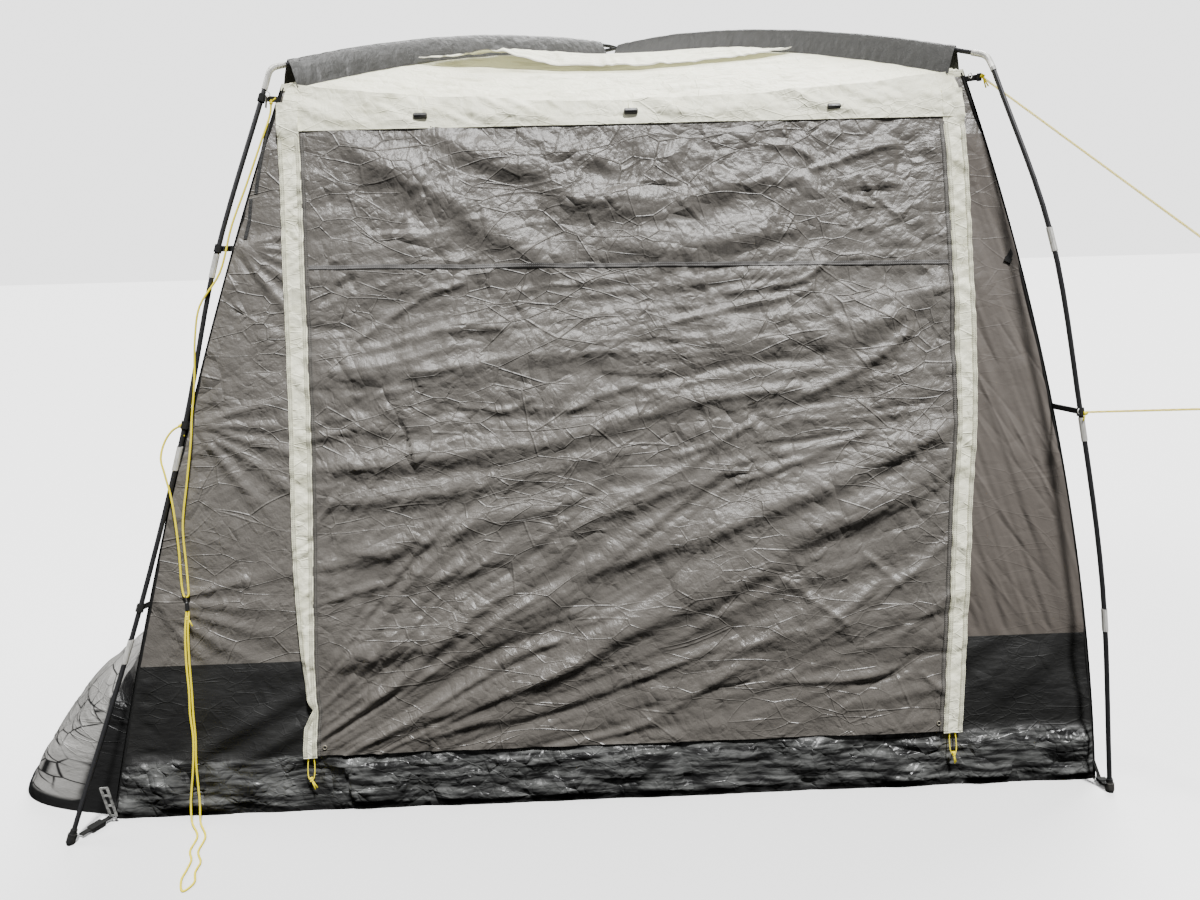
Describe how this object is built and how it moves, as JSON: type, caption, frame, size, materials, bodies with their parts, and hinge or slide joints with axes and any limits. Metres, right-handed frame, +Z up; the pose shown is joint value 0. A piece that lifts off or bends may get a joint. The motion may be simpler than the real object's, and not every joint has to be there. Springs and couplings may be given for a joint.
{
  "type": "drive-away awning",
  "caption": "Square frame tent with outside legs, crossed roof poles, sloping fabric walls, a lifting front door flap and a slack side tunnel for a vehicle.",
  "frame": {"origin": "middle of the footprint of the whole object, right guy line and its peg included, on the ground", "axes": "+Z up, the door flap faces -Y, the slack vehicle tunnel is on the -X side"},
  "size_m": [4.6939, 4.3209, 2.3816],
  "materials": {
    "black_fabric": "PVC-coated cloth, satin",
    "cream_fabric": "coated cloth, satin",
    "foot_plastic": "moulded plastic, matt",
    "grey_fabric": "coated cloth, slightly glossy, creased",
    "pole": "black glass-fibre rod, satin",
    "sleeve_fabric": "coated cloth, matt",
    "steel": "bare tube, bright",
    "tunnel_fabric": "silver-grey coated cloth, creased",
    "webbing": "woven webbing",
    "yellow_rope": "braided cord"
  },
  "bodies": {
    "tent": {"back_mud_wall": "black_fabric", "back_wall": "grey_fabric", "corner_tape_back_left": "webbing", "corner_tape_back_right": "webbing", "corner_tape_front_left": "webbing", "corner_tape_front_right": "webbing", "door_band": "cream_fabric", "foot_strap_back_left": "webbing", "foot_strap_back_right": "webbing", "foot_strap_front_left": "webbing", "foot_strap_front_right": "webbing", "front_mud_left": "black_fabric", "front_mud_right": "black_fabric", "front_mud_sill": "black_fabric", "front_wall_header": "grey_fabric", "front_wall_left": "grey_fabric", "front_wall_right": "grey_fabric", "left_guy_loop": "yellow_rope", "left_guy_rope": "yellow_rope", "left_guy_runner": "foot_plastic", "left_mud_wall": "black_fabric", "left_wall": "grey_fabric", "leg_pole_back_left": "pole", "leg_pole_back_right": "pole", "leg_pole_front_left": "pole", "leg_pole_front_right": "pole", "pole_elbow_back_left": "steel", "pole_elbow_back_right": "steel", "pole_elbow_front_left": "steel", "pole_elbow_front_right": "steel", "pole_foot_back_left": "foot_plastic", "pole_foot_back_right": "foot_plastic", "pole_foot_front_left": "foot_plastic", "pole_foot_front_right": "foot_plastic", "pole_sleeve_back_left": "sleeve_fabric", "pole_sleeve_back_right": "sleeve_fabric", "pole_sleeve_front_left": "sleeve_fabric", "pole_sleeve_front_right": "sleeve_fabric", "right_guy_line": "yellow_rope", "right_guy_peg": "steel", "right_guy_rope": "yellow_rope", "right_guy_runner": "foot_plastic", "right_mud_wall": "black_fabric", "right_wall": "grey_fabric", "roof": "cream_fabric", "roof_pole_over": "pole", "roof_pole_under": "pole", "roof_vent_hood": "cream_fabric", "toggle_left": "foot_plastic", "toggle_middle": "foot_plastic", "toggle_right": "foot_plastic", "tunnel": "tunnel_fabric"},
    "door": {"door_border_left": "cream_fabric", "door_border_right": "cream_fabric", "door_panel": "grey_fabric", "peg_loop_left": "yellow_rope", "peg_loop_right": "yellow_rope"}
  },
  "joints": [
    {"name": "front_door", "type": "hinge", "parent": "tent", "child": "door", "pos_m": [0, -0.41038, 1.955], "axis": [-1, 0, 0], "range_deg": [0, 85]}
  ]
}
